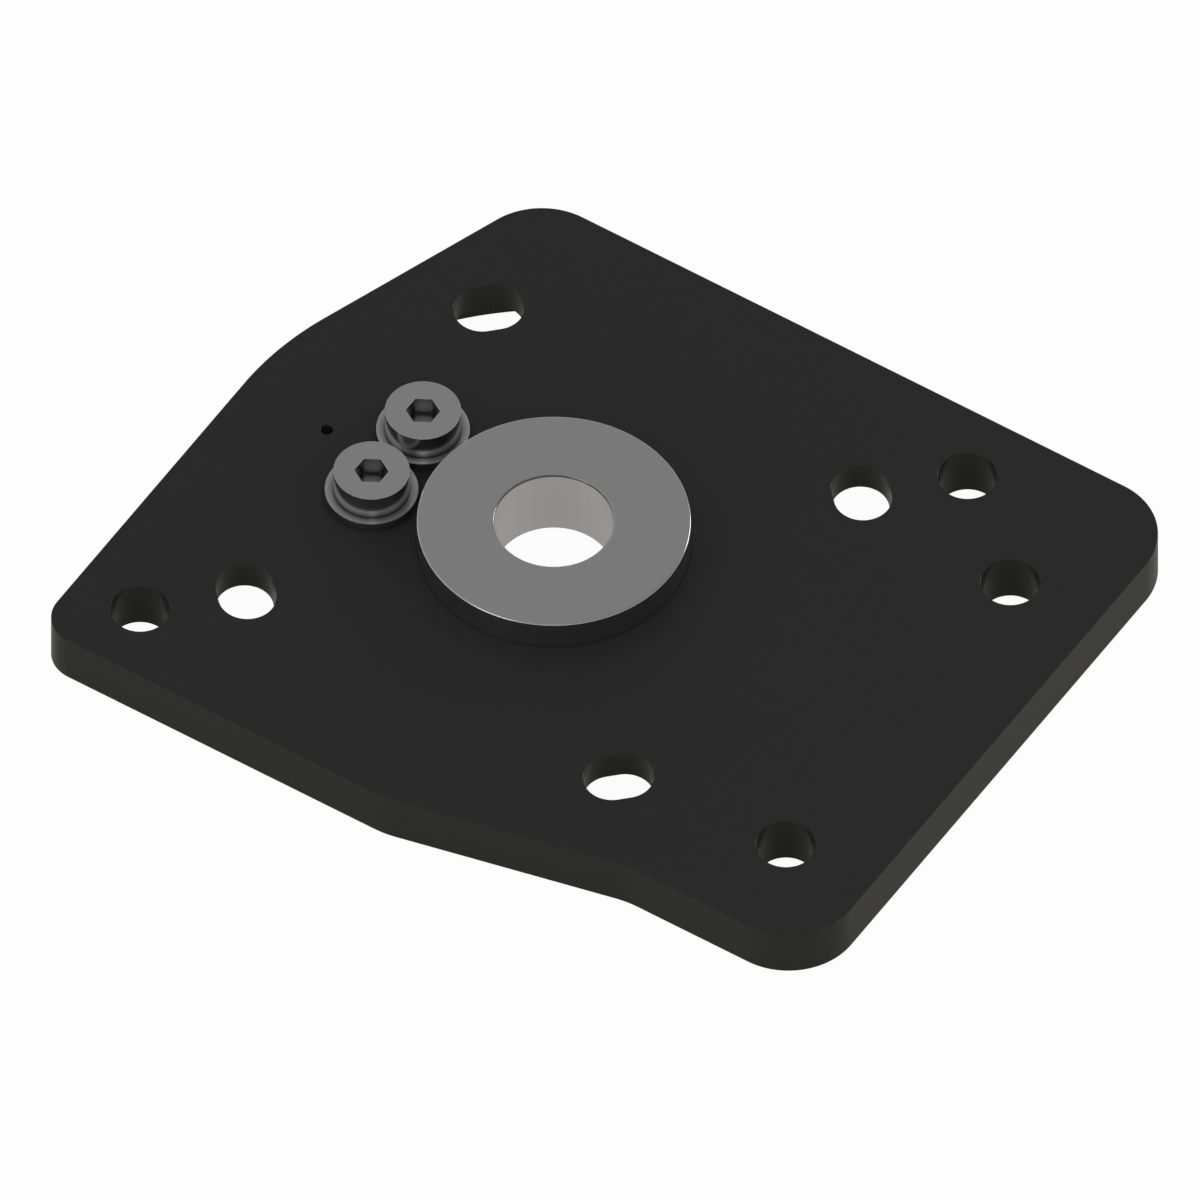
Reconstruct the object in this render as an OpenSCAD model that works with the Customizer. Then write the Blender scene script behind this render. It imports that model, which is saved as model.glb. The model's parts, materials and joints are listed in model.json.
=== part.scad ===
// Steering unit mounting plate: a flat plate with a round recess under its middle, four short
// bolt slots round the steering axis, four bolt holes outside the recess, a flanged bush
// pressed into the middle and two flanged socket screws beside it.
// Millimetres. The steering axis is Z, and Z = 0 is the top face of the plate.

/* [Plate] */
// Thickness of the plate
plate_t = 15; // [12:0.5:25]
// Distance from the steering axis to the left edge
left_reach = 100; // [96:1:130]
// Distance from the steering axis to the back edge
back_reach = 100; // [98:1:130]
// Distance from the steering axis to the front edge
front_reach = 100; // [98:1:130]
// Distance from the steering axis to the right edge
right_reach = 137; // [130:1:180]
// How far the right half of the front edge is set back
front_step = 15.5; // [5:0.5:18]
// Where the set-back starts, to the right of the steering axis
step_from = 11; // [0:0.5:20]
// Where the set-back ends, to the right of the steering axis
step_to = 78.5; // [75:0.5:90]
// Where the slanted flank leaves the back edge, to the left of the steering axis
flank_from = 70; // [66:0.5:74]
// Angle between the slanted flank and the left edge
flank_angle = 20; // [18:0.5:22]

/* [Corner radii] */
// Front left corner
front_left_r = 10; // [5:1:20]
// The three other square corners
corner_r = 20; // [10:1:24]
// Both bends of the set-back
step_r = 30; // [10:1:60]
// Bend between the left edge and the flank
flank_r = 90; // [40:1:100]

/* [Underside recess] */
// Diameter of the round recess in the underside
recess_d = 189; // [180:1:194]
// Depth of the recess
recess_depth = 6.3; // [3:0.1:8]

/* [Slots] */
// Diameter of the circle that the four slots lie on
slot_circle_d = 168.4; // [160:0.1:170]
// Width of a slot
slot_w = 15.6; // [10:0.1:17]
// Swing that a slot allows each way, in degrees
slot_swing = 1.2; // [0.5:0.1:2]

/* [Bolt holes] */
// Diameter of the four bolt holes
hole_d = 16; // [8:0.5:18]
// Place of the two diagonal holes, along X and along Y from the steering axis
diagonal_at = 80; // [78:0.5:82]
// Place of the two right holes along X
right_pair_x = 110; // [106:0.5:114]
// Spacing of the two right holes along Y
right_pair_pitch = 110; // [100:1:112]

/* [Pin hole] */
// Diameter of the small hole through the web
pin_d = 3.4; // [2:0.1:6]
// Distance of the pin hole to the left of the steering axis
pin_x = 72.5; // [70:0.5:80]

/* [Bush] */
// Diameter of the bush's flange
bush_flange_d = 73.5; // [66:0.5:74]
// Thickness of the flange
bush_flange_t = 9; // [4:0.5:15]
// Outer diameter of the body below the flange
bush_body_d = 50; // [42:0.5:60]
// Bore of the bush
bush_bore_d = 32; // [20:0.5:36]
// Length of the body below the flange
bush_body_l = 13; // [11:0.5:14]
// Radius on the rims of the bush
bush_edge_r = 0.5; // [0.2:0.1:1]
// Clearance round the body in the plate
bush_clearance = 0.02; // [0.01:0.01:0.1]

/* [Flanged screws] */
// Distance of the screws to the left of the steering axis
screw_x = 50; // [50:0.5:56]
// Spacing of the two screws
screw_pitch = 25.2; // [25.2:0.1:30]
// Thread diameter
screw_d = 12; // [8:1:12]
// Length below the head
screw_l = 12; // [10:0.5:14]
// Diameter of the head
head_d = 20.5; // [18:0.5:22]
// Height of the head, flange included
head_h = 10; // [8:0.5:14]
// Diameter of the flange
flange_d = 25.1; // [23.5:0.1:25.1]
// Thickness of the flange
flange_t = 2.5; // [1.5:0.1:4]
// Radius on the rims of the head and of the flange
screw_edge_r = 0.1; // [0.1:0.1:0.6]
// Width across the flats of the hexagon socket
socket_af = 8; // [5:0.5:10]
// Depth of the hexagon socket
socket_depth = 6; // [3:0.5:7]
// Clearance round the thread in the plate
screw_clearance = 0.05; // [0.02:0.01:0.2]

/* [Hidden] */
$fn = 96;

// Cuts reach this far past the faces that they break through
cut = 1;
// The underside of the plate
bottom_z = -plate_t;
// Depth of the chamfer at the screw's point
point_chamfer = 1;
// Radius of the circle that the slots lie on
slot_circle_r = slot_circle_d / 2;
// Directions of the four slots, in degrees
slot_angles = [45, 135, 225, 315];
// Centres of the four bolt holes
bolt_holes_at = [
    [diagonal_at, diagonal_at],
    [-diagonal_at, -diagonal_at],
    [right_pair_x, right_pair_pitch / 2],
    [right_pair_x, -right_pair_pitch / 2]
];

// Where the flank meets the left edge
flank_to_y = back_reach - (left_reach - flank_from) / tan(flank_angle);
// Sharp corners of the outline, counterclockwise, each with its radius
corners = [
    [[-left_reach, -front_reach], front_left_r],
    [[step_from, -front_reach], step_r],
    [[step_to, -front_reach + front_step], step_r],
    [[right_reach, -front_reach + front_step], corner_r],
    [[right_reach, back_reach], corner_r],
    [[-flank_from, back_reach], corner_r],
    [[-left_reach, flank_to_y], flank_r]
];

function unit(v) = v / norm(v);
function corner_at(i) = corners[(i + len(corners)) % len(corners)][0];
// Direction of the edge that leaves corner i
function edge_dir(i) = unit(corner_at(i + 1) - corner_at(i));
// Turn of the outline at corner i, in degrees, negative at the inward bend
function turn(i) =
    let (a = edge_dir(i - 1), b = edge_dir(i))
    atan2(a[0] * b[1] - a[1] * b[0], a[0] * b[0] + a[1] * b[1]);
// Distance from corner i to where its arc touches either edge
function run_in(i) = corners[i][1] * tan(abs(turn(i)) / 2);
// The two touching points of the arc at corner i
function touch_points(i) = [
    corner_at(i) - run_in(i) * edge_dir(i - 1),
    corner_at(i) + run_in(i) * edge_dir(i)
];
// Centre of the arc at corner i, left of the outline where it turns left
function arc_centre(i) =
    let (d = edge_dir(i - 1))
    touch_points(i)[0] + corners[i][1] * sign(turn(i)) * [-d[1], d[0]];

// The round at corner i as a whole circle
module corner_circle(i) {
    translate(arc_centre(i)) circle(r = corners[i][1]);
}

// The outline: straight runs between the touching points, with the arcs put on outward
// corners and taken off the inward one
module outline() {
    last = len(corners) - 1;
    difference() {
        union() {
            polygon([for (i = [0 : last]) each touch_points(i)]);
            for (i = [0 : last])
                if (turn(i) > 0) corner_circle(i);
        }
        for (i = [0 : last])
            if (turn(i) < 0) corner_circle(i);
    }
}

// A short slot along the circle round the steering axis, through the web
module slot_cut(angle) {
    mid_r = slot_circle_r * cos(slot_swing);
    half_run = slot_circle_r * sin(slot_swing);
    cut_h = plate_t + 2 * cut;
    rotate(angle) translate([mid_r, 0, bottom_z - cut]) {
        for (side = [-1, 1])
            translate([0, side * half_run, 0]) cylinder(d = slot_w, h = cut_h);
        translate([-slot_w / 2, -half_run, 0]) cube([slot_w, 2 * half_run, cut_h]);
    }
}

// A round hole through the whole plate
module through_cut(diameter) {
    translate([0, 0, bottom_z - cut]) cylinder(d = diameter, h = plate_t + 2 * cut);
}

module mounting_plate() {
    color([0.16, 0.16, 0.16]) difference() {
        translate([0, 0, bottom_z]) linear_extrude(plate_t) outline();
        translate([0, 0, bottom_z - cut]) cylinder(d = recess_d, h = recess_depth + cut);
        through_cut(bush_body_d + 2 * bush_clearance);
        for (angle = slot_angles) slot_cut(angle);
        for (at = bolt_holes_at) translate(at) through_cut(hole_d);
        for (side = [-1, 1])
            translate([-screw_x, side * screw_pitch / 2]) through_cut(screw_d + 2 * screw_clearance);
        translate([-pin_x, 0]) through_cut(pin_d);
    }
}

// Points of a quarter round from angle a0 to a1 about a centre
function round_points(centre, r, a0, a1, steps = 6) = [
    for (i = [0 : steps])
        let (a = a0 + (a1 - a0) * i / steps)
        centre + r * [cos(a), sin(a)]
];

// One turned piece: a flange on the top face and a body down through the web
module pivot_bush() {
    bore_r = bush_bore_d / 2;
    body_r = bush_body_d / 2;
    rim_r = bush_flange_d / 2;
    e = bush_edge_r;
    color([0.5, 0.5, 0.5]) rotate_extrude() polygon(concat(
        round_points([bore_r + e, bush_flange_t - e], e, 180, 90),
        round_points([rim_r - e, bush_flange_t - e], e, 90, 0),
        [[rim_r, 0], [body_r, 0]],
        round_points([body_r - e, e - bush_body_l], e, 0, -90),
        round_points([bore_r + e, e - bush_body_l], e, 270, 180)
    ));
}

// A screw with a flange turned on its head and a hexagon socket
module flange_screw() {
    head_r = head_d / 2;
    rim_r = flange_d / 2;
    shank_r = screw_d / 2;
    e = screw_edge_r;
    difference() {
        rotate_extrude() polygon(concat(
            [[0, head_h]],
            round_points([head_r - e, head_h - e], e, 90, 0),
            [[head_r, flange_t]],
            round_points([rim_r - e, flange_t - e], e, 90, 0),
            [[rim_r, 0], [shank_r, 0]],
            [[shank_r, point_chamfer - screw_l], [shank_r - point_chamfer, -screw_l]],
            [[0, -screw_l]]
        ));
        translate([0, 0, head_h - socket_depth])
            rotate(30) cylinder(d = socket_af / cos(30), h = socket_depth + cut, $fn = 6);
    }
}

// Side is 1 for the screw at the back and -1 for the one in front
module placed_screw(side) {
    color([0.5, 0.5, 0.5]) translate([-screw_x, side * screw_pitch / 2, 0]) flange_screw();
}

module flange_screw_1() {
    placed_screw(1);
}

module flange_screw_2() {
    placed_screw(-1);
}

mounting_plate();
pivot_bush();
flange_screw_1();
flange_screw_2();
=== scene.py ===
"""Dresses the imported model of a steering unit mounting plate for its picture.

A black plate with a recess underneath carries a flanged steel bush and two flanged socket screws.
Sizes in this file are in millimetres, as on a drawing, and meshes are made from them in metres.
"""

import json
import logging
import math
from dataclasses import dataclass, field
from enum import Enum
from typing import Iterable, Optional, Sequence, Union

import bmesh
import bpy
from bpy.types import Camera, Light, Material, Mesh, Node, NodeSocket, NodeTree, Object
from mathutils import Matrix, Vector


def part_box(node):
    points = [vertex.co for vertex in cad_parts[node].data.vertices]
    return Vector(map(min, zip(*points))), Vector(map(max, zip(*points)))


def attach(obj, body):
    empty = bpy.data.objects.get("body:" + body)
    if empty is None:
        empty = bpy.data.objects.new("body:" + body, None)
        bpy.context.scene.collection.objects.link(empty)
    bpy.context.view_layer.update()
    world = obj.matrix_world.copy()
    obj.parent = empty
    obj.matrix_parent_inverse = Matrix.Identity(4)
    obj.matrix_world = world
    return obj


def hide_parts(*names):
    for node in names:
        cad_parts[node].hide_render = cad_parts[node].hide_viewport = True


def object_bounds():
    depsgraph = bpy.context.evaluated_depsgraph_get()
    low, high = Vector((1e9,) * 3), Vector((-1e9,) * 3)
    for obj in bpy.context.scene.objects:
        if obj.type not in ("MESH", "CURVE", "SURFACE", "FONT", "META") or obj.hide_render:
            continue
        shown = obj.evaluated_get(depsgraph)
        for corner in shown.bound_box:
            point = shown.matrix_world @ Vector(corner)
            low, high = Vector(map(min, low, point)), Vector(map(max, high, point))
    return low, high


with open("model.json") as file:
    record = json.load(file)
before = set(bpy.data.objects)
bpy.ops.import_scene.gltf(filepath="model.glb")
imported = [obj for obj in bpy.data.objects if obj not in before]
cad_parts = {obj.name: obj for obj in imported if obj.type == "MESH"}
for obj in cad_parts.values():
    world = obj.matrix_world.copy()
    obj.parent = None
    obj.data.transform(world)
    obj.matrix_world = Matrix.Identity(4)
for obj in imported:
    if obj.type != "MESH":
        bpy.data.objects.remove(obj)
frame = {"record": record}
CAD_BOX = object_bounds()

log = logging.getLogger("mounting_plate")

MM = 0.001
WELD = 0.001
SLIVER = 0.0001
SHARP_ANGLE = math.radians(28.0)
MM_DIGITS = 4

Point = tuple[float, float]
Spot = tuple[float, float, float]
Colour = tuple[float, float, float]

STEERING_AXIS: Point = (0.0, 0.0)
WHITE: Colour = (1.0, 1.0, 1.0)


def mm_of(metres: float) -> float:
    """A length of the frame in millimetres."""
    return round(metres / MM, MM_DIGITS)


def box_of(node: str) -> tuple[Spot, Spot]:
    """The lowest and the highest corner of a node's box, in millimetres."""
    low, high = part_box(node)
    return (mm_of(low.x), mm_of(low.y), mm_of(low.z)), (mm_of(high.x), mm_of(high.y), mm_of(high.z))


def axis_of(node: str) -> Point:
    """The upright axis through the middle of a node's box, in millimetres."""
    low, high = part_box(node)
    return mm_of((low.x + high.x) / 2), mm_of((low.y + high.y) / 2)


def mounts(prefix: str) -> list[dict]:
    """The record's mounts whose names start so."""
    return [m for m in frame["record"]["mounts"] if m["name"].startswith(prefix)]


def place_of(mount: dict) -> Point:
    """Where a mount lies along X and Y, in millimetres."""
    return mm_of(mount["pos_m"][0]), mm_of(mount["pos_m"][1])


# Node trees


class Signal:
    """The output of a node, on which arithmetic adds Math nodes."""

    def __init__(self, graph: "Graph", socket: NodeSocket) -> None:
        """Keeps the socket and the graph that new nodes go into."""
        self.graph = graph
        self.socket = socket

    def math(self, operation: str, *others: "Operand") -> "Signal":
        """Adds one Math node, with this as its first operand."""
        return self.graph.math(operation, self, *others)

    def __add__(self, other: "Operand") -> "Signal":
        """This plus the other."""
        return self.math("ADD", other)

    def __sub__(self, other: "Operand") -> "Signal":
        """This minus the other."""
        return self.math("SUBTRACT", other)

    def __rsub__(self, other: "Operand") -> "Signal":
        """The other minus this."""
        return self.graph.math("SUBTRACT", other, self)

    def __mul__(self, other: "Operand") -> "Signal":
        """This times the other."""
        return self.math("MULTIPLY", other)

    def __truediv__(self, other: "Operand") -> "Signal":
        """This divided by the other."""
        return self.math("DIVIDE", other)

    def __mod__(self, other: "Operand") -> "Signal":
        """The rest of this divided by the other."""
        return self.math("MODULO", other)

    def __lt__(self, other: "Operand") -> "Signal":
        """1 where this is less than the other, and 0 elsewhere."""
        return self.math("LESS_THAN", other)

    def least(self, other: "Operand") -> "Signal":
        """The lesser of this and the other."""
        return self.math("MINIMUM", other)

    def most(self, other: "Operand") -> "Signal":
        """The greater of this and the other."""
        return self.math("MAXIMUM", other)

    __radd__ = __add__
    __rmul__ = __mul__


Operand = Union[Signal, int, float]
Key = Union[str, int]
Inputs = dict[Key, object]


class Graph:
    """A node tree, and one method that makes any node in it."""

    def __init__(self, tree: NodeTree) -> None:
        """Takes the tree and empties it."""
        self.tree = tree
        tree.nodes.clear()

    def add(self, kind: str, inputs: Optional[Inputs] = None, **settings: object) -> Node:
        """Makes one node.

        Args:
            kind: The node's type.
            inputs: Its sockets by name, identifier or index, each with a value, a signal, or a
                list of signals for a socket that takes several.
            settings: Its settings by name, which are set first.

        Returns:
            The new node.
        """
        node = self.tree.nodes.new(kind)
        for name, value in settings.items():
            setattr(node, name, value)
        for key, value in (inputs or {}).items():
            socket = self._find(node.inputs, key)
            if isinstance(value, (Signal, list)):
                for source in value if isinstance(value, list) else [value]:
                    self.tree.links.new(source.socket, socket)
            else:
                socket.default_value = value
        return node

    def signal(
        self, kind: str, inputs: Optional[Inputs] = None, output: Key = 0, **settings: object
    ) -> Signal:
        """Makes one node and gives one of its outputs.

        Args:
            kind: The node's type.
            inputs: As in add.
            output: The wanted output, by name, identifier or index.
            settings: As in add.

        Returns:
            The output as a signal.
        """
        node = self.add(kind, inputs, **settings)
        return Signal(self, self._find(node.outputs, output))

    def math(self, operation: str, *operands: Operand) -> Signal:
        """Adds one Math node with its operands in order."""
        return self.signal("ShaderNodeMath", dict(enumerate(operands)), operation=operation)

    def axes(self, vector: Signal) -> list[Signal]:
        """Splits a vector into its three axes."""
        split = self.add("ShaderNodeSeparateXYZ", {0: vector})
        return [Signal(self, socket) for socket in split.outputs]

    def scaled(self, vector: Union[Signal, Spot], factor: Operand) -> Signal:
        """Multiplies a vector or a colour by a factor."""
        inputs = {"Vector": vector, "Scale": factor}
        return self.signal("ShaderNodeVectorMath", inputs, operation="SCALE")

    def place(self) -> Signal:
        """The object's own coordinates in millimetres."""
        return self.scaled(self.signal("ShaderNodeTexCoord", output="Object"), 1.0 / MM)

    def mixed(self, factor: Signal, first: Colour, second: Colour) -> Signal:
        """Mixes two colours, and gives the second where the factor is 1."""
        inputs = {"Factor_Float": factor, "A_Color": (*first, 1.0), "B_Color": (*second, 1.0)}
        return self.signal("ShaderNodeMix", inputs, "Result_Color", data_type="RGBA")

    def eased(self, value: Signal, span: Point, levels: Point = (0.0, 1.0)) -> Signal:
        """Eases from the first level to the second while the value crosses the span."""
        names = ("From Min", "From Max", "To Min", "To Max")
        inputs = {"Value": value, **dict(zip(names, (*span, *levels)))}
        return self.signal("ShaderNodeMapRange", inputs, interpolation_type="SMOOTHSTEP")

    def relief(self, height: Signal, depth: float) -> Signal:
        """The normal over a relief, in which a height of 1 has the given depth."""
        inputs = {"Strength": 1.0, "Distance": depth * MM, "Height": height}
        return self.signal("ShaderNodeBump", inputs)

    def end(self, surface: Signal, kind: str = "ShaderNodeOutputMaterial") -> None:
        """Adds the node that the tree ends in."""
        self.add(kind, {"Surface": surface})

    @staticmethod
    def _find(sockets: Iterable, key: Key) -> NodeSocket:
        """Finds the socket that an index, an identifier or a name means."""
        if isinstance(key, int):
            return sockets[key]
        for socket in sockets:
            if socket.identifier == key:
                return socket
        return sockets[key]


# Finishes


def new_material(name: str) -> tuple[Material, Graph]:
    """Makes an empty material, and gives it with the graph of its nodes."""
    material = bpy.data.materials.new(name)
    material.use_nodes = True
    return material, Graph(material.node_tree)


@dataclass(frozen=True)
class Grain:
    """A noise, with the size of its grains and the number of its finer layers."""

    size: float
    layers: float
    middle: float = 0.5

    def over(self, graph: Graph, place: Signal, dimensions: str = "3D") -> Signal:
        """Adds the noise, about 0 on average, over a place, or along one way only if "1D"."""
        key = "W" if dimensions == "1D" else "Vector"
        inputs = {key: place, "Scale": 1.0 / self.size, "Detail": self.layers}
        noise = graph.signal("ShaderNodeTexNoise", inputs, "Fac", noise_dimensions=dimensions)
        return noise - self.middle


@dataclass(frozen=True)
class ShadeRing:
    """A ring round an upright axis: painted shade near it, or painted light at a depth below 0."""

    radius: float
    height: float
    reach: float
    depth: float
    centre: Point = STEERING_AXIS

    def shade(self, graph: Graph, place: Sequence[Signal]) -> Signal:
        """Adds the ring's painted shade, or its painted light where the depth is below 0.

        Args:
            graph: The material's graph.
            place: The three coordinates, in millimetres.

        Returns:
            The factor on the colour, which is 1 beyond the ring's reach.
        """
        dx, dy = place[0] - self.centre[0], place[1] - self.centre[1]
        dr = (dx * dx + dy * dy).math("SQRT") - self.radius
        dz = place[2] - self.height
        distance = (dr * dr + dz * dz).math("SQRT")
        return graph.eased(distance, (0.0, self.reach), (1.0 - self.depth, 1.0))


@dataclass(frozen=True)
class SatinBlack:
    """A thin satin black coat with a faint orange peel.

    The colour drifts a little over the plate, and the coat's grain breaks up its gloss. Rings of
    painted shade and painted light darken and lighten it in places.
    """

    name: str = "satin_black_coat"
    colour: Colour = (0.0153, 0.0153, 0.0151)
    roughness: float = 0.5
    wall_roughness: float = 0.27
    gloss_level: float = 0.3
    cloud: Grain = Grain(45.0, 3.0)
    cloud_depth: float = 0.05
    peel: Grain = Grain(0.9, 2.0)
    peel_share: float = 0.7
    grain: Grain = Grain(0.22, 4.0)
    grain_depth: float = 0.05
    roughness_spread: float = 0.08
    relief: float = 0.004
    top: float = 0.0
    # Rings of painted shade, and of painted light where their depth is below 0.
    rings: tuple[ShadeRing, ...] = ()

    def material(self) -> Material:
        """Builds the coat, which is glossier on walls than on the top face.

        Returns:
            The finished material.
        """
        material, graph = new_material(self.name)
        place = graph.place()
        axes = graph.axes(place)
        cloud, peel, grain = (g.over(graph, place) for g in (self.cloud, self.peel, self.grain))
        shade = 1.0 + self.cloud_depth * cloud + self.grain_depth * grain
        # The rings paint shade, and some light, onto the colour.
        for ring in self.rings:
            shade = shade * ring.shade(graph, axes)
        on_wall = axes[2] < self.top - WELD
        rough = self.roughness + (self.wall_roughness - self.roughness) * on_wall
        height = self.peel_share * peel + (1.0 - self.peel_share) * grain
        inputs = {
            "Base Color": graph.scaled(self.colour, shade),
            "Roughness": rough + self.roughness_spread * grain,
            "Specular IOR Level": self.gloss_level,
            "Normal": graph.relief(height, self.relief),
        }
        graph.end(graph.signal("ShaderNodeBsdfPrincipled", inputs))
        return material


@dataclass(frozen=True)
class TurnedSteel:
    """Bright steel with fine tool marks round its turning axis.

    The marks follow the radius on faces and the height on walls, so one pattern serves both. A
    bore is honed, and painted paler as painted light, with streaks along it whose size is a share
    of a turn, and with painted shade on its far side. Rings of painted shade darken the steel.
    """

    name: str
    colour: Colour
    centre: Point = STEERING_AXIS
    mirrored: bool = False
    roughness: float = 0.2
    roughness_spread: float = 0.04
    marks: Grain = Grain(0.16, 3.0)
    mark_depth: float = 0.05
    bands: Grain = Grain(2.4, 1.0)
    band_depth: float = 0.02
    relief: float = 0.0004
    rings: tuple[ShadeRing, ...] = ()
    bore_r: float = 0.0
    # The bore's colour, paler than the steel as painted light.
    bore_painted_light_colour: Colour = (0.95, 0.934, 0.944)
    bore_roughness: float = 0.3
    # Painted shade on the bore's far side, towards the given way.
    bore_painted_shade: float = 0.11
    painted_shade_towards: Point = (-0.546, 0.838)
    painted_shade_power: float = 3.0
    painted_shade_middle: float = 0.5
    streaks: Grain = Grain(1.0 / 60.0, 2.0)
    streak_depth: float = 0.07

    def material(self) -> Material:
        """Builds the steel.

        Returns:
            The finished material.
        """
        material, graph = new_material(self.name)
        x, y, z = graph.axes(graph.place())
        if self.mirrored:
            y = y.math("ABSOLUTE")
        dx, dy = x - self.centre[0], y - self.centre[1]
        radius = (dx * dx + dy * dy).math("SQRT")
        in_bore = radius < self.bore_r + WELD
        marks, bands = (g.over(graph, radius + z, "1D") for g in (self.marks, self.bands))
        shade = 1.0 + self.mark_depth * marks + self.band_depth * bands
        # The rings paint shade onto the colour.
        for ring in self.rings:
            shade = shade * ring.shade(graph, (x, y, z))
        # The bore's streaks, and the painted shade on its far side.
        shade = shade * (1.0 + in_bore * self._bore_shade(graph, dx, dy, radius))
        rough = self.roughness + self.roughness_spread * bands
        inputs = {
            # The bore's paler colour is painted light.
            "Base Color": graph.scaled(graph.mixed(in_bore, self.colour, self.bore_painted_light_colour), shade),
            "Roughness": rough + (self.bore_roughness - self.roughness) * in_bore,
            "Metallic": 1.0,
            "Normal": graph.relief(marks, self.relief),
        }
        graph.end(graph.signal("ShaderNodeBsdfPrincipled", inputs))
        return material

    def _bore_shade(self, graph: Graph, dx: Signal, dy: Signal, radius: Signal) -> Signal:
        """Adds the streaks along the bore, and the painted shade that darkens its far side.

        Args:
            graph: The material's graph.
            dx: The way from the turning axis along X.
            dy: The way from it along Y.
            radius: The distance from it.

        Returns:
            What is added to the factor on the colour.
        """
        facing = (dx * self.painted_shade_towards[0] + dy * self.painted_shade_towards[1]) / radius
        far_painted_shade = facing.most(0.0).math("POWER", self.painted_shade_power)
        streaks = self.streaks.over(graph, graph.math("ARCTAN2", dy, dx) / math.tau, "1D")
        return self.streak_depth * streaks + self.bore_painted_shade * (self.painted_shade_middle - far_painted_shade)


# Meshes


def arc(centre: Point, radius: float, start: float, end: float, steps: int) -> list[Point]:
    """Points along an arc between two angles in degrees, one more than its steps."""
    angles = (math.radians(start + (end - start) * i / steps) for i in range(steps + 1))
    return [(centre[0] + radius * math.cos(a), centre[1] + radius * math.sin(a)) for a in angles]


def with_guards(profile: Sequence[Point], gap: float = 0.05, long: float = 0.5) -> list[Point]:
    """Adds a point near both ends of each long run, so that flats stay flat beside rounds.

    Args:
        profile: The points of a profile.
        gap: How far from the ends the points lie.
        long: The length above which a run is long.

    Returns:
        The profile with its guards.
    """
    out: list[Point] = [profile[0]]
    for (r0, z0), (r1, z1) in zip(profile, profile[1:]):
        length = math.hypot(r1 - r0, z1 - z0)
        if length > long:
            shares = (gap / length, 1.0 - gap / length)
            out += [(r0 + (r1 - r0) * t, z0 + (z1 - z0) * t) for t in shares]
        out.append((r1, z1))
    return out


def object_of(name: str, data: Union[Mesh, Camera, Light]) -> Object:
    """Puts a mesh, a camera or a lamp into the scene as an object at the origin."""
    made = bpy.data.objects.new(name, data)
    bpy.context.scene.collection.objects.link(made)
    return made


def points_object(name: str, points: Sequence[Sequence[float]]) -> Object:
    """Makes an object of loose points, which a tree reads as a profile or as places."""
    mesh = bpy.data.meshes.new(name)
    mesh.from_pydata([[c * MM for c in p] for p in points], [], [])
    made = object_of(name, mesh)
    made.hide_render = True
    return made


def close_mesh(mesh: Mesh, finish: Material) -> None:
    """Welds a mesh, turns its faces outwards, shades it and leaves it one finish.

    Args:
        mesh: The mesh, in metres.
        finish: Its only material.
    """
    work = bmesh.new()
    work.from_mesh(mesh)
    bmesh.ops.remove_doubles(work, verts=work.verts, dist=WELD * MM)
    bmesh.ops.dissolve_degenerate(work, edges=work.edges, dist=SLIVER * MM)
    bmesh.ops.recalc_face_normals(work, faces=work.faces)
    unpaired = sum(1 for e in work.edges if len(e.link_faces) != 2)
    work.to_mesh(mesh)
    work.free()
    mesh.shade_smooth()
    mesh.set_sharp_from_angle(angle=SHARP_ANGLE)
    mesh.materials.clear()
    mesh.materials.append(finish)
    mesh.polygons.foreach_set("material_index", [0] * len(mesh.polygons))
    log.info("%s: %d faces, %d open edges", mesh.name, len(mesh.polygons), unpaired)


@dataclass
class Tree:
    """A Geometry Nodes tree with named inputs, and what runs it on an object."""

    name: str
    group: NodeTree = field(init=False)
    graph: Graph = field(init=False)
    entry: Node = field(init=False)

    def __post_init__(self) -> None:
        """Makes the empty tree with a geometry coming in and one going out."""
        self.group = bpy.data.node_groups.new(self.name, "GeometryNodeTree")
        self.graph = Graph(self.group)
        for way in ("INPUT", "OUTPUT"):
            self.group.interface.new_socket(
                "Geometry", in_out=way, socket_type="NodeSocketGeometry"
            )
        self.entry = self.graph.add("NodeGroupInput")

    def input(self, name: str, kind: str) -> Signal:
        """Adds a named input. The kind is its socket's type without the common beginning."""
        kind = "NodeSocket" + kind
        self.group.interface.new_socket(name, in_out="INPUT", socket_type=kind)
        return Signal(self.graph, self.entry.outputs[name])

    def points_of(self, name: str) -> Signal:
        """Adds an input for an object, and gives the object's geometry."""
        inputs = {"Object": self.input(name, "Object")}
        return self.graph.signal("GeometryNodeObjectInfo", inputs, "Geometry")

    def finish(self, geometry: Signal) -> None:
        """Ends the tree with welded, real geometry in the given finish."""
        inputs = {"Geometry": geometry, "Distance": WELD * MM}
        welded = self.graph.signal("GeometryNodeMergeByDistance", inputs)
        real = self.graph.signal("GeometryNodeRealizeInstances", {"Geometry": welded})
        inputs = {"Geometry": real, "Material": self.input("Finish", "Material")}
        dressed = self.graph.signal("GeometryNodeSetMaterial", inputs)
        self.graph.add("NodeGroupOutput", {"Geometry": dressed})

    def run(self, name: str, values: dict[str, object], base: Optional[Mesh] = None) -> Object:
        """Runs the tree and keeps its result as a plain mesh.

        Args:
            name: The name of the new piece.
            values: The tree's inputs by name.
            base: The mesh that comes in, or none.

        Returns:
            The new piece, without a modifier.
        """
        carrier = object_of(name + "_carrier", base or bpy.data.meshes.new(name + "_base"))
        modifier = carrier.modifiers.new(self.name, "NODES")
        modifier.node_group = self.group
        sockets = {s.name: s.identifier for s in self.group.interface.items_tree}
        for key, value in values.items():
            modifier[sockets[key]] = value
        bpy.context.view_layer.update()
        depsgraph = bpy.context.evaluated_depsgraph_get()
        evaluated = carrier.evaluated_get(depsgraph)
        mesh = bpy.data.meshes.new_from_object(evaluated, depsgraph=depsgraph)
        mesh.name = name
        carrier.modifiers.remove(modifier)
        bpy.data.objects.remove(carrier)
        return object_of(name, mesh)


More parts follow.
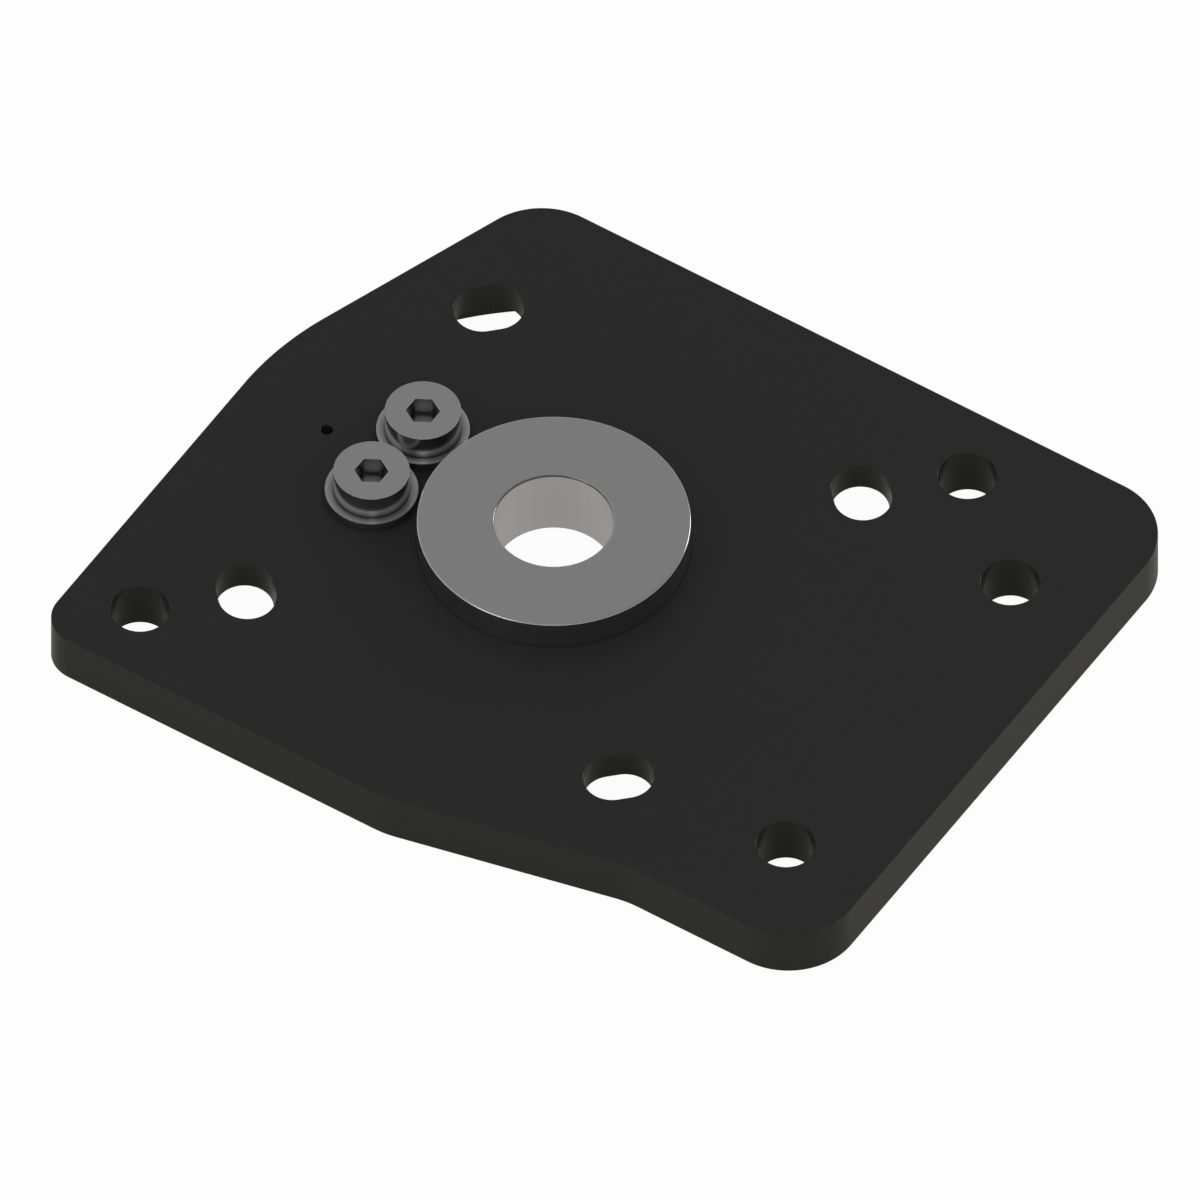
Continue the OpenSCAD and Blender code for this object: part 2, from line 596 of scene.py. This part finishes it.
class TurningTree(Tree):
    """Turns a profile round the Z axis, with a lead and repeats for a thread.

    The profile is an object of points, each with its radius as X and its height as Y. A grid of
    side 1 is rolled up, with one column for each run of the circle and one row for each point.
    """

    side: float = 1.0

    def __init__(self, name: str = "turning") -> None:
        """Builds the tree."""
        super().__init__(name)
        graph = self.graph
        points = self.points_of("Profile")
        columns, repeats = (self.input(name, "Int") for name in ("Columns", "Repeats"))
        lead, start = (self.input(name, "Float") for name in ("Lead", "Start"))
        count = graph.signal("GeometryNodeAttributeDomainSize", {"Geometry": points})
        rows = count * repeats
        inputs = {"Size X": self.side, "Size Y": self.side}
        inputs |= {"Vertices X": columns + 1, "Vertices Y": rows}
        grid = graph.signal("GeometryNodeMeshGrid", inputs)
        spot = graph.signal("GeometryNodeInputPosition")
        across, up, _ = graph.axes(spot)
        turned = across + self.side / 2
        row = ((up + self.side / 2) * (rows - 1)).math("ROUND")
        inputs = {"Geometry": points, "Value": spot, "Index": row % count}
        taken = graph.signal(
            "GeometryNodeSampleIndex", inputs, "Value", data_type="FLOAT_VECTOR", domain="POINT"
        )
        radius, height, _ = graph.axes(taken)
        height = height + start + lead * ((row / count).math("FLOOR") + turned)
        radius, height = self.trim(radius, height)
        angle = turned * math.tau
        across, up = (radius * angle.math(operation) for operation in ("COSINE", "SINE"))
        place = graph.signal("ShaderNodeCombineXYZ", {0: across, 1: up, 2: height})
        self.finish(graph.signal("GeometryNodeSetPosition", {"Geometry": grid, "Position": place}))

    def trim(self, radius: Signal, height: Signal) -> tuple[Signal, Signal]:
        """Leaves a plain turned profile as it is."""
        return radius, height

    def roll(
        self, name: str, profile: Sequence[Point], columns: int, repeats: int = 1, **sizes: float
    ) -> Object:
        """Runs the tree on a profile.

        Args:
            name: The new object's name.
            profile: Points of radius and height.
            columns: How many runs the circle is cut into.
            repeats: How many times the profile comes, one above the other.
            sizes: The tree's other inputs by name, in millimetres.

        Returns:
            The turned skin.
        """
        shape = points_object(name + "_profile", [(r, z, 0.0) for r, z in profile])
        values = {key: size * MM for key, size in sizes.items()}
        made = self.run(name, {"Profile": shape, "Columns": columns, "Repeats": repeats, **values})
        bpy.data.objects.remove(shape)
        return made


class ThreadTree(TurningTree):
    """Turns a shank's thread along its helix, cut off flat with a chamfer at both ends."""

    def __init__(self) -> None:
        """Builds the tree."""
        super().__init__("thread")

    def trim(self, radius: Signal, height: Signal) -> tuple[Signal, Signal]:
        """Cuts the thread off at its two ends, where its radius is the given one."""
        bottom, top, end_r = (self.input(name, "Float") for name in ("Bottom", "Top", "End"))
        height = height.most(bottom).least(top)
        depth = (top - height).least(height - bottom)
        return radius.least(end_r + depth), height


class SettingTree(Tree):
    """Sets a piece down at each point of an object, and joins them to the mesh that comes in."""

    def __init__(self) -> None:
        """Builds the tree."""
        super().__init__("setting")
        piece, places = self.points_of("Piece"), self.points_of("Places")
        inputs = {"Points": places, "Instance": piece}
        copies = self.graph.signal("GeometryNodeInstanceOnPoints", inputs)
        real = self.graph.signal("GeometryNodeRealizeInstances", {"Geometry": copies})
        parts = [real, Signal(self.graph, self.entry.outputs["Geometry"])]
        self.finish(self.graph.signal("GeometryNodeJoinGeometry", {"Geometry": parts}))


@dataclass(frozen=True)
class ThreadForm:
    """A metric thread: its two radii, its pitch, and the form of its ridge."""

    major_r: float
    minor_r: float
    pitch: float
    flank_angle: float = 30.0
    crest_share: float = 0.125
    flank_runs: int = 3

    def profile(self) -> list[Point]:
        """One pitch of the thread, from the start of the flat at the minor radius.

        Returns:
            Points of radius and height.
        """
        rise = self.major_r - self.minor_r
        flank = rise * math.tan(math.radians(self.flank_angle))
        crest = self.pitch * self.crest_share
        flat = self.pitch - crest - 2.0 * flank
        shares = [i / self.flank_runs for i in range(self.flank_runs + 1)]
        up = [(self.minor_r + rise * t, flat + flank * t) for t in shares]
        down = [(self.major_r - rise * t, flat + flank + crest + flank * t) for t in shares[:-1]]
        return [(self.minor_r, 0.0), *up, *down]


class Workshop:
    """The trees that make turned, threaded and repeated shapes."""

    columns: int = 96
    spare_turns: int = 2

    def __init__(self) -> None:
        """Builds each tree once."""
        self.turning = TurningTree()
        self.threading = ThreadTree()
        self.setting = SettingTree()

    def thread(
        self, name: str, form: ThreadForm, bottom: float, top: float, end_r: float
    ) -> Object:
        """Cuts a thread round the Z axis.

        Args:
            name: The new object's name.
            form: The thread's form.
            bottom: The height of its lower end.
            top: The height of its upper end.
            end_r: The radius at both ends, where a chamfer begins.

        Returns:
            The thread's skin, open at both ends.
        """
        repeats = math.ceil((top - bottom) / form.pitch) + self.spare_turns
        sizes = {"Lead": form.pitch, "Start": bottom - form.pitch}
        sizes |= {"Bottom": bottom, "Top": top, "End": end_r}
        return self.threading.roll(name, form.profile(), self.columns, repeats, **sizes)

    def set_down(
        self,
        name: str,
        piece: Object,
        places: Sequence[Spot],
        finish: Material,
        base: Optional[Mesh] = None,
    ) -> Object:
        """Puts copies of a piece at the given places.

        Args:
            name: The new piece's name.
            piece: What is copied. It is used up.
            places: Where the copies go, in millimetres.
            finish: The material of the result.
            base: A mesh that the copies are welded to, or none.

        Returns:
            The new piece, welded and shaded.
        """
        at = points_object(name + "_places", places)
        values = {"Piece": piece, "Places": at, "Finish": finish}
        made = self.setting.run(name, values, base)
        for used in (at, piece):
            bpy.data.objects.remove(used)
        close_mesh(made.data, finish)
        return made


# The plate


@dataclass(frozen=True)
class Rim:
    """A closed line on the plate, with the way out of the solid at each of its points."""

    points: tuple[Point, ...]
    outward: tuple[Point, ...]

    def moved_in(self, inset: float) -> list[Point]:
        """The line, moved into the solid by the inset."""
        pairs = zip(self.points, self.outward)
        return [(x - inset * nx, y - inset * ny) for (x, y), (nx, ny) in pairs]


class Bend(Enum):
    """Which way a corner of the outline turns."""

    OUTWARD = 1
    INWARD = -1


@dataclass(frozen=True)
class Corner:
    """A sharp corner of the outline and the radius that rounds it."""

    x: float
    y: float
    radius: float


def rounded_rim(corners: Sequence[Corner], step: float, fewest: int = 2) -> Rim:
    """Rounds the corners of a counterclockwise outline with tangent arcs.

    Args:
        corners: Its sharp corners in order.
        step: The longest run along an arc.
        fewest: The least number of runs along an arc.

    Returns:
        The rounded outline.
    """
    points: list[Point] = []
    outward: list[Point] = []
    spots = [Vector((c.x, c.y)) for c in corners]
    for i, corner in enumerate(corners):
        come = (spots[i] - spots[i - 1]).normalized()
        leave = (spots[(i + 1) % len(spots)] - spots[i]).normalized()
        turn = math.atan2(come.x * leave.y - come.y * leave.x, come.dot(leave))
        bend = Bend.OUTWARD if turn > 0 else Bend.INWARD
        touch = spots[i] - come * corner.radius * math.tan(abs(turn) / 2)
        centre = touch + bend.value * corner.radius * Vector((-come.y, come.x))
        first = touch - centre
        steps = max(fewest, math.ceil(corner.radius * abs(turn) / step))
        for j in range(steps + 1):
            angle = math.atan2(first.y, first.x) + turn * j / steps
            way = (math.cos(angle), math.sin(angle))
            points.append((centre.x + corner.radius * way[0], centre.y + corner.radius * way[1]))
            outward.append((bend.value * way[0], bend.value * way[1]))
    return Rim(tuple(points), tuple(outward))


def hole_rim(centre: Point, radius: float, count: int, start: float = 0.0) -> Rim:
    """The rim of a round hole, or of a many-sided one.

    Args:
        centre: The hole's centre.
        radius: Its radius.
        count: How many points it has.
        start: The angle of its first point, in radians.

    Returns:
        The rim, which leaves the solid towards the hole's centre.
    """
    angles = [start + math.tau * j / count for j in range(count)]
    ways = [(math.cos(a), math.sin(a)) for a in angles]
    points = tuple((centre[0] + radius * c, centre[1] + radius * s) for c, s in ways)
    return Rim(points, tuple((-c, -s) for c, s in ways))


def slot_rim(centre: Point, radius: float, run: float, along: float, count: int) -> Rim:
    """The rim of a slot with round ends.

    Args:
        centre: The slot's middle.
        radius: The radius of its ends.
        run: Half the distance between the centres of its ends.
        along: The direction of the slot, in radians.
        count: How many points each end has.

    Returns:
        The rim, which leaves the solid towards the slot's middle.
    """
    points: list[Point] = []
    outward: list[Point] = []
    for heading in (along, along + math.pi):
        cx = centre[0] + run * math.cos(heading)
        cy = centre[1] + run * math.sin(heading)
        for j in range(count + 1):
            angle = heading - math.pi / 2 + math.pi * j / count
            points.append((cx + radius * math.cos(angle), cy + radius * math.sin(angle)))
            outward.append((-math.cos(angle), -math.sin(angle)))
    return Rim(tuple(points), tuple(outward))


class SheetMesh:
    """A solid cut from plate: walls that follow rims, and flats between them."""

    def __init__(self) -> None:
        """Starts with nothing."""
        self.work = bmesh.new()

    def _ring(self, line: Sequence[Point], height: float) -> list[bmesh.types.BMVert]:
        """Adds the points of a closed line at a height."""
        return [self.work.verts.new((x * MM, y * MM, height * MM)) for x, y in line]

    def wall(self, rim: Rim, profile: Sequence[Point]) -> None:
        """Adds the wall along a rim.

        Args:
            rim: The rim that it follows.
            profile: For each ring of the wall, how far it lies inside the rim and its height.
        """
        rings = [self._ring(rim.moved_in(inset), z) for inset, z in profile]
        for upper, lower in zip(rings, rings[1:]):
            next_upper, next_lower = upper[1:] + upper[:1], lower[1:] + lower[:1]
            for corners in zip(upper, next_upper, next_lower, lower):
                self.work.faces.new(corners)

    def edge_ring(self, rim: Rim, height: float) -> None:
        """Adds only the edges of a rim, for a flat that ends where another piece is welded on."""
        ring = self._ring(rim.points, height)
        for ends in zip(ring, ring[1:] + ring[:1]):
            self.work.edges.new(ends)

    def _open_edges(self, height: float) -> list[bmesh.types.BMEdge]:
        """The edges at a height that still lack a face."""
        near = WELD * MM
        return [
            e
            for e in self.work.edges
            if len(e.link_faces) < 2 and all(abs(v.co.z - height * MM) < near for v in e.verts)
        ]

    def flat(self, height: float) -> None:
        """Fills the flat at a height between all the open rims there."""
        edges = self._open_edges(height)
        bmesh.ops.triangle_fill(self.work, edges=edges, use_beauty=True, use_dissolve=False)

    def join(self, skins: Sequence[Object]) -> None:
        """Welds turned skins on, which are used up."""
        for skin in skins:
            self.work.from_mesh(skin.data)
            bpy.data.objects.remove(skin)
        bmesh.ops.remove_doubles(self.work, verts=self.work.verts, dist=WELD * MM)

    def cap(self, height: float) -> None:
        """Closes the only open rim at a height with one face."""
        bmesh.ops.contextual_create(self.work, geom=self._open_edges(height))

    def end(self, name: str) -> Mesh:
        """Ends the work and gives the mesh."""
        made = bpy.data.meshes.new(name)
        self.work.to_mesh(made)
        self.work.free()
        return made


@dataclass
class MountingPlate:
    """The black plate, with its recess, slots, bolt holes, pin hole and seats."""

    front_step: float = 15.5
    step_from: float = 11.0
    step_to: float = 78.5
    flank_from: float = 70.0
    flank_angle: float = 20.0
    front_left_r: float = 10.0
    corner_r: float = 20.0
    step_r: float = 30.0
    flank_r: float = 90.0
    recess_r: float = 94.5
    recess_fillet: float = 0.5
    fillet_steps: int = 5
    bush_seat_r: float = 25.02
    screw_seat_r: float = 6.05
    edge_break: float = 0.08
    arc_step: float = 0.8
    recess_columns: int = 288
    small_columns: int = 48
    # Painted shadow round the feet of the bush and the screws, and painted light round the bush, as
    # reach and depth.
    foot_shadow_line: Point = (0.7, 0.6)
    foot_painted_light: Point = (7.0, -0.06)
    screw_foot_shadow_line: Point = (1.6, 0.5)

    def finish(self, top: float, screw_places: Sequence[Point]) -> Material:
        """The plate's coat, with painted shadow lines round the feet of the bush and the screws,
        and painted light a little way round the bush.

        Args:
            top: The height of the top face.
            screw_places: The axes of the two screws.

        Returns:
            The finished material.
        """
        bush_r = box_of("pivot_bush")[1][0]
        screw_r = box_of("flange_screw_1")[1][0] - screw_places[0][0]
        rings = [ShadeRing(bush_r, top, *shade) for shade in (self.foot_shadow_line, self.foot_painted_light)]
        rings += [ShadeRing(screw_r, top, *self.screw_foot_shadow_line, at) for at in screw_places]
        return SatinBlack(top=top, rings=tuple(rings)).material()

    def outline(self) -> Rim:
        """The plate's outline, from the frame's box and the driving sizes.

        Returns:
            The rounded outline.
        """
        (left, front, _), (right, back, _) = box_of("mounting_plate")
        set_back = front + self.front_step
        flank_run = -left - self.flank_from
        flank_to = back - flank_run / math.tan(math.radians(self.flank_angle))
        corners = [
            Corner(left, front, self.front_left_r),
            Corner(self.step_from, front, self.step_r),
            Corner(self.step_to, set_back, self.step_r),
            Corner(right, set_back, self.corner_r),
            Corner(right, back, self.corner_r),
            Corner(-self.flank_from, back, self.corner_r),
            Corner(left, flank_to, self.flank_r),
        ]
        return rounded_rim(corners, self.arc_step)

    def web_holes(self, columns: int, screw_places: Sequence[Point]) -> list[Rim]:
        """The rims of all that goes through the web.

        Args:
            columns: How many points the rim of a seat has.
            screw_places: Where the two screws go through.

        Returns:
            The seats of the bush and of the screws, the pin hole, and the slots.
        """
        pin = mounts("pin_hole")[0]
        rims = [hole_rim(STEERING_AXIS, self.bush_seat_r, columns)]
        rims += [hole_rim(place, self.screw_seat_r, columns) for place in screw_places]
        rims.append(hole_rim(place_of(pin), pin["dims"]["r_mm"], self.small_columns))
        for slot in mounts("slot_"):
            place, end_r = place_of(slot), slot["dims"]["hole_r_mm"]
            along = math.atan2(place[1], place[0]) + math.pi / 2
            run = slot["dims"]["slot_length_mm"] / 2 - end_r
            rims.append(slot_rim(place, end_r, run, along, self.small_columns))
        return rims

    def build(self, shop: Workshop, screw_places: Sequence[Point]) -> None:
        """Builds the plate.

        Args:
            shop: The trees that turn the wall of a bolt hole and repeat it.
            screw_places: Where the two screws go through the web.
        """
        (_, _, bottom), (_, _, top) = box_of("mounting_plate")
        web = mm_of(mounts("recess_face")[0]["pos_m"][2])
        b, f = self.edge_break, self.recess_fillet
        solid = SheetMesh()
        solid.wall(self.outline(), [(b, top), (0, top - b), (0, bottom + b), (b, bottom)])
        corner = arc((self.recess_r - f, web - f), f, 90, 0, self.fillet_steps)
        fillet = [(r - self.recess_r, z) for r, z in corner]
        recess = hole_rim(STEERING_AXIS, self.recess_r, self.recess_columns)
        solid.wall(recess, [*fillet, (0, bottom + b), (b, bottom)])
        for rim in self.web_holes(shop.columns, screw_places):
            solid.wall(rim, [(b, top), (0, top - b), (0, web + b), (b, web)])
        bolt_holes = mounts("bolt_hole_")
        hole_r = bolt_holes[0]["dims"]["r_mm"]
        places = [place_of(m) for m in bolt_holes]
        for place in places:
            for height in (top, bottom):
                solid.edge_ring(hole_rim(place, hole_r + b, shop.columns), height)
        for height in (top, web, bottom):
            solid.flat(height)
        section = [(hole_r + b, top), (hole_r, top - b), (hole_r, bottom + b), (hole_r + b, bottom)]
        plate = shop.set_down(
            "black_mounting_plate",
            shop.turning.roll("bolt_hole_wall", section, shop.columns),
            [(*place, 0.0) for place in places],
            self.finish(top, screw_places),
            solid.end("plate_blank"),
        )
        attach(plate, "root")
        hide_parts("mounting_plate")


# The turned pieces


@dataclass
class PivotBush:
    """The flanged steel bush, turned in one piece, with a honed bore."""

    edge_r: float = 0.5
    edge_steps: int = 8
    body_r: float = 25.0
    columns: int = 192
    steel: Colour = (0.6, 0.6, 0.6)
    # A painted shade line just inside the bore's mouth: its drop below the top, then its reach and
    # depth.
    mouth_shade_drop: float = 0.45
    mouth_shadow_line: Point = (0.6, 0.92)

    def profile(self, bore_r: float) -> list[Point]:
        """The bush's section, once round from the bore's lower end.

        Args:
            bore_r: The radius of the bore.

        Returns:
            Points of radius and height.
        """
        (_, _, bottom), (rim_r, _, top) = box_of("pivot_bush")
        e, n = self.edge_r, self.edge_steps
        section = [
            *arc((bore_r + e, bottom + e), e, 270, 180, n),
            *arc((bore_r + e, top - e), e, 180, 90, n),
            *arc((rim_r - e, top - e), e, 90, 0, n),
            (rim_r, 0.0),
            (self.body_r, 0.0),
            *arc((self.body_r - e, bottom + e), e, 0, -90, n),
        ]
        return with_guards([*section, section[0]])

    def build(self, shop: Workshop) -> None:
        """Builds the bush with the tree that turns it."""
        bore_r = mounts("shaft_bore")[0]["dims"]["r_mm"]
        top = box_of("pivot_bush")[1][2]
        # The painted shade line round the bore's mouth.
        mouth_shade = ShadeRing(bore_r, top - self.mouth_shade_drop, *self.mouth_shadow_line)
        finish = TurnedSteel("turned_bush_steel", self.steel, rings=(mouth_shade,), bore_r=bore_r)
        skin = shop.turning.roll("bush_skin", self.profile(bore_r), self.columns)
        bush = shop.set_down("steel_pivot_bush", skin, [(0.0, 0.0, 0.0)], finish.material())
        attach(bush, "root")
        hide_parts("pivot_bush")


@dataclass
class FlangeScrew:
    """A socket screw with a flange turned on its head and a thread on its shank."""

    head_r: float = 10.25
    flange_t: float = 2.5
    edge_r: float = 0.02
    edge_steps: int = 4
    skin_lap: float = 0.06
    # Painted shade at the neck, in the socket and beside the bush, each as reach and depth.
    neck_shadow_line: Point = (0.45, 0.5)
    neck_shade: Point = (2.2, 0.46)
    socket_shade: Point = (6.2, 0.5)
    socket_shadow_line: Point = (1.3, 0.6)
    shade_beside_bush: Point = (6.0, 0.45)
    socket_af: float = 8.0
    socket_depth: float = 6.0
    socket_break: float = 0.05
    socket_sides: int = 6
    socket_turn: float = 30.0
    thread: ThreadForm = ThreadForm(6.0, 5.08, 1.75)
    point_r: float = 5.0
    steel: Colour = (0.6, 0.6, 0.6)

    def profile(self, rim_r: float, head_h: float) -> list[Point]:
        """The section of the head and its flange, from the top's rim down to the shank.

        Args:
            rim_r: The flange's radius.
            head_h: The head's height.

        Returns:
            Points of radius and height.
        """
        e, n = self.edge_r, self.edge_steps
        section = [
            (self.head_r - self.skin_lap, head_h),
            *arc((self.head_r - e, head_h - e), e, 90, 0, n),
            (self.head_r, self.flange_t),
            *arc((rim_r - e, self.flange_t - e), e, 90, 0, n),
            (rim_r, 0.0),
            (self.point_r, 0.0),
        ]
        return with_guards(section)

    def socket(self, ring_r: float, head_h: float, columns: int) -> SheetMesh:
        """The top face with its hexagon socket, inside the ring where the turned skin begins.

        Args:
            ring_r: The radius of that ring.
            head_h: The head's height.
            columns: How many points the ring has.

        Returns:
            The faces, to which the skins are joined.
        """
        corner_r = self.socket_af / 2 / math.cos(math.pi / self.socket_sides)
        turn = math.radians(self.socket_turn)
        hexagon = hole_rim(STEERING_AXIS, corner_r, self.socket_sides, turn)
        b = self.socket_break
        solid = SheetMesh()
        floor = head_h - self.socket_depth
        solid.edge_ring(hole_rim(STEERING_AXIS, ring_r, columns), head_h)
        solid.wall(hexagon, [(b, head_h), (0, head_h - b), (0, floor + b), (-b, floor)])
        solid.flat(head_h)
        solid.flat(floor)
        return solid

    def finish(self, axis: Point, head_h: float) -> Material:
        """The steel that both screws share, with painted shade at the neck, in the socket and
        beside the bush.

        Args:
            axis: The axis of the screw at the back. The other one mirrors it.
            head_h: The head's height.

        Returns:
            The material, made only once.
        """
        # Painted shadow lines and softer painted shade round the neck and the socket's floor.
        places = [
            (self.head_r, self.flange_t, (self.neck_shadow_line, self.neck_shade)),
            (self.socket_af / 2, head_h - self.socket_depth, (self.socket_shadow_line, self.socket_shade)),
        ]
        rings = [ShadeRing(r, z, *shade, axis) for r, z, shades in places for shade in shades]
        # Painted shade on the side that faces the bush.
        rings.append(ShadeRing(box_of("pivot_bush")[1][0], self.flange_t, *self.shade_beside_bush))
        name = "turned_screw_steel"
        steel = TurnedSteel(name, self.steel, axis, mirrored=True, rings=tuple(rings))
        return bpy.data.materials.get(name) or steel.material()

    def build(self, shop: Workshop, node: str, name: str) -> None:
        """Builds one of the screws where its node is.

        Args:
            shop: The trees that turn it and cut its thread.
            node: The node that it replaces.
            name: The new piece's name.
        """
        centre = axis_of(node)
        (_, _, point), (right, _, head_h) = box_of(node)
        section = self.profile(right - centre[0], head_h)
        head = shop.turning.roll(name + "_head", section, shop.columns)
        shank = shop.thread(name + "_shank", self.thread, point, 0.0, self.point_r)
        body = self.socket(section[0][0], head_h, shop.columns)
        body.join([head, shank])
        body.cap(point)
        whole = object_of(name + "_whole", body.end(name + "_whole"))
        finish = self.finish((centre[0], abs(centre[1])), head_h)
        screw = shop.set_down(name, whole, [(*centre, 0.0)], finish)
        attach(screw, "root")
        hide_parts(node)


# The studio


def direction(azimuth: float, elevation: float) -> Vector:
    """The unit vector at an azimuth from +X and an elevation, in degrees."""
    a, e = math.radians(azimuth), math.radians(elevation)
    return Vector((math.cos(a) * math.cos(e), math.sin(a) * math.cos(e), math.sin(e)))


def placed(name: str, data: Union[Camera, Light], at: Vector, way: Vector) -> Object:
    """Puts a camera or a lamp at a place in metres, looking along the way."""
    made = object_of(name, data)
    made.location = at
    made.rotation_mode = "QUATERNION"
    made.rotation_quaternion = way.to_track_quat("-Z", "Y")
    return made


@dataclass(frozen=True)
class View:
    """The camera: its direction, its scale and where the steering axis falls in the frame."""

    azimuth: float = 33.1
    elevation: float = 49.56
    frame_px: float = 1200.0
    px_per_mm: float = 3.737
    axis_px: Point = (553.8, 542.3)
    distance: float = 1.2
    clip: Point = (0.01, 20.0)

    def build(self) -> None:
        """Builds the camera, which looks from the front, turned by its azimuth."""
        back = direction(self.azimuth - 90.0, self.elevation)
        right = direction(self.azimuth, 0.0)
        scale = MM / self.px_per_mm
        shift_x, shift_y = ((self.frame_px / 2 - at) * scale for at in self.axis_px)
        data = bpy.data.cameras.new("view")
        data.type = "ORTHO"
        data.ortho_scale = self.frame_px * scale
        data.clip_start, data.clip_end = self.clip
        at = right * shift_x - back.cross(right) * shift_y + back * self.distance
        bpy.context.scene.camera = placed("view", data, at, -back)


@dataclass(frozen=True)
class Softbox:
    """A square soft lamp that looks at the object, with its distance and its side in metres."""

    name: str
    azimuth: float
    elevation: float
    distance: float
    size: float
    radiance: float

    def build(self) -> None:
        """Builds the lamp, hidden from the camera."""
        way = direction(self.azimuth, self.elevation)
        data = bpy.data.lights.new(self.name, "AREA")
        data.shape = "SQUARE"
        data.size = self.size
        data.energy = self.radiance * math.pi * self.size**2
        lamp = placed(self.name, data, way * self.distance, -way)
        lamp.visible_camera = False


@dataclass(frozen=True)
class Studio:
    """A pale floor, a white surround with a grey ceiling, and soft lamps."""

    floor_side: float = 6.0
    floor_drop: float = 0.05
    floor_colour: Colour = (0.8, 0.8, 0.8)
    floor_white: float = 0.96
    floor_in_gloss: Colour = (0.322, 0.319, 0.3)
    surround_level: float = 0.83
    ceiling_grey: float = 0.308
    ceiling_lean: float = 0.45
    lean_towards: Point = (-0.838, -0.546)
    ceiling_span: Point = (0.08, 0.4)
    boxes: tuple[Softbox, ...] = (
        Softbox("right_rim_box", 66.0, 8.0, 1.6, 0.55, 4.2),
        Softbox("left_rim_box", -101.0, 10.0, 1.6, 0.9, 1.3),
        Softbox("front_box", -57.0, 48.0, 1.6, 0.4, 0.3),
    )

    def build(self) -> None:
        """Builds the floor, the surround and the lamps."""
        self._floor()
        self._surround()
        for box in self.boxes:
            box.build()

    @staticmethod
    def _rays(graph: Graph) -> tuple[Signal, Signal]:
        """1 for a camera ray, and 1 for any that shows the background, in metal and glass too."""
        path = graph.add("ShaderNodeLightPath")
        names = ("Is Camera Ray", "Is Glossy Ray", "Is Transmission Ray")
        camera, glossy, through = (Signal(graph, path.outputs[name]) for name in names)
        return camera, camera.most(glossy).most(through)

    def _floor(self) -> None:
        """Builds the floor under the plate, which can't be seen from below."""
        level = CAD_BOX[0].z - self.floor_drop * MM
        h = self.floor_side / 2
        corners = [(x, y, level) for x, y in ((-h, -h), (h, -h), (h, h), (-h, h))]
        mesh = bpy.data.meshes.new("floor")
        mesh.from_pydata(corners, [], [(0, 1, 2, 3)])
        material, graph = new_material("pale_floor")
        camera, shown = self._rays(graph)
        pale = graph.signal("ShaderNodeBsdfDiffuse", {"Color": (*self.floor_colour, 1.0)})
        glow = graph.mixed(camera, self.floor_in_gloss, WHITE)
        white = graph.signal("ShaderNodeEmission", {"Color": glow})
        inputs = {0: shown * self.floor_white, 1: pale, 2: white}
        above = graph.signal("ShaderNodeMixShader", inputs)
        clear = graph.signal("ShaderNodeBsdfTransparent")
        below = graph.signal("ShaderNodeNewGeometry", output="Backfacing")
        graph.end(graph.signal("ShaderNodeMixShader", {0: below, 1: above, 2: clear}))
        mesh.materials.append(material)
        floor = object_of("floor", mesh)

    def _surround(self) -> None:
        """Builds the world: white to the camera and round the horizon, grey overhead in metal."""
        world = bpy.data.worlds.new("surround")
        world.use_nodes = True
        bpy.context.scene.world = world
        graph = Graph(world.node_tree)
        x, y, z = graph.axes(graph.signal("ShaderNodeTexCoord", output="Generated"))
        overhead = graph.eased(z, self.ceiling_span)
        lean = 1.0 + self.ceiling_lean * (x * self.lean_towards[0] + y * self.lean_towards[1])
        camera, shown = self._rays(graph)
        seen = 1.0 - (1.0 - self.ceiling_grey * lean) * overhead * (1.0 - camera)
        strength = seen * shown + self.surround_level * (1.0 - shown)
        inputs = {"Color": (*WHITE, 1.0), "Strength": strength}
        graph.end(graph.signal("ShaderNodeBackground", inputs), "ShaderNodeOutputWorld")


def main() -> None:
    """Builds the studio and every piece in order."""
    logging.basicConfig(level=logging.INFO, format="%(name)s: %(message)s")
    bpy.context.scene.view_settings.view_transform = "Standard"
    View().build()
    Studio().build()
    shop = Workshop()
    screws = {"flange_screw_1": "back_flange_screw", "flange_screw_2": "front_flange_screw"}
    MountingPlate().build(shop, [axis_of(node) for node in screws])
    PivotBush().build(shop)
    for node, name in screws.items():
        FlangeScrew().build(shop, node, name)


if __name__ == "__main__":
    main()
